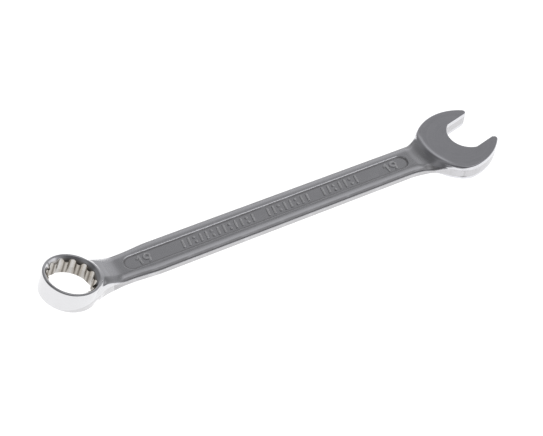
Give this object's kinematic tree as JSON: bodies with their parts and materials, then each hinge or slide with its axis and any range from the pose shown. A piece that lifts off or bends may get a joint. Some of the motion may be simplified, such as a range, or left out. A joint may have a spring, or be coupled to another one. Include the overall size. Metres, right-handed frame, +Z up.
{
  "type": "combination wrench",
  "caption": "Forged combination wrench with an angled open jaw at one end, a tilted twelve-point ring at the other and a shank with recessed panels.",
  "frame": {"origin": "under the middle of the bounding box, on the surface the wrench lies on", "axes": "+X along the shank from the ring end to the open end, +Z up out of the broad face, +Y to the side the open jaw turns towards"},
  "size_m": [0.237, 0.0384, 0.0169],
  "materials": {
    "polished_chrome": "fine satin faces with polished walls",
    "satin_chrome": "satin over a fine blasted surface",
    "raised_marks": "satin"
  },
  "bodies": {
    "root": {"ring_head": "polished_chrome", "ring_neck": "satin_chrome", "shank": "satin_chrome", "open_neck": "satin_chrome", "open_head": "polished_chrome", "upper_ring_size_mark": "raised_marks", "upper_bar_pattern": "raised_marks", "upper_open_size_mark": "raised_marks", "lower_ring_size_mark": "raised_marks", "lower_bar_pattern": "raised_marks", "lower_open_size_mark": "raised_marks"}
  },
  "joints": []
}
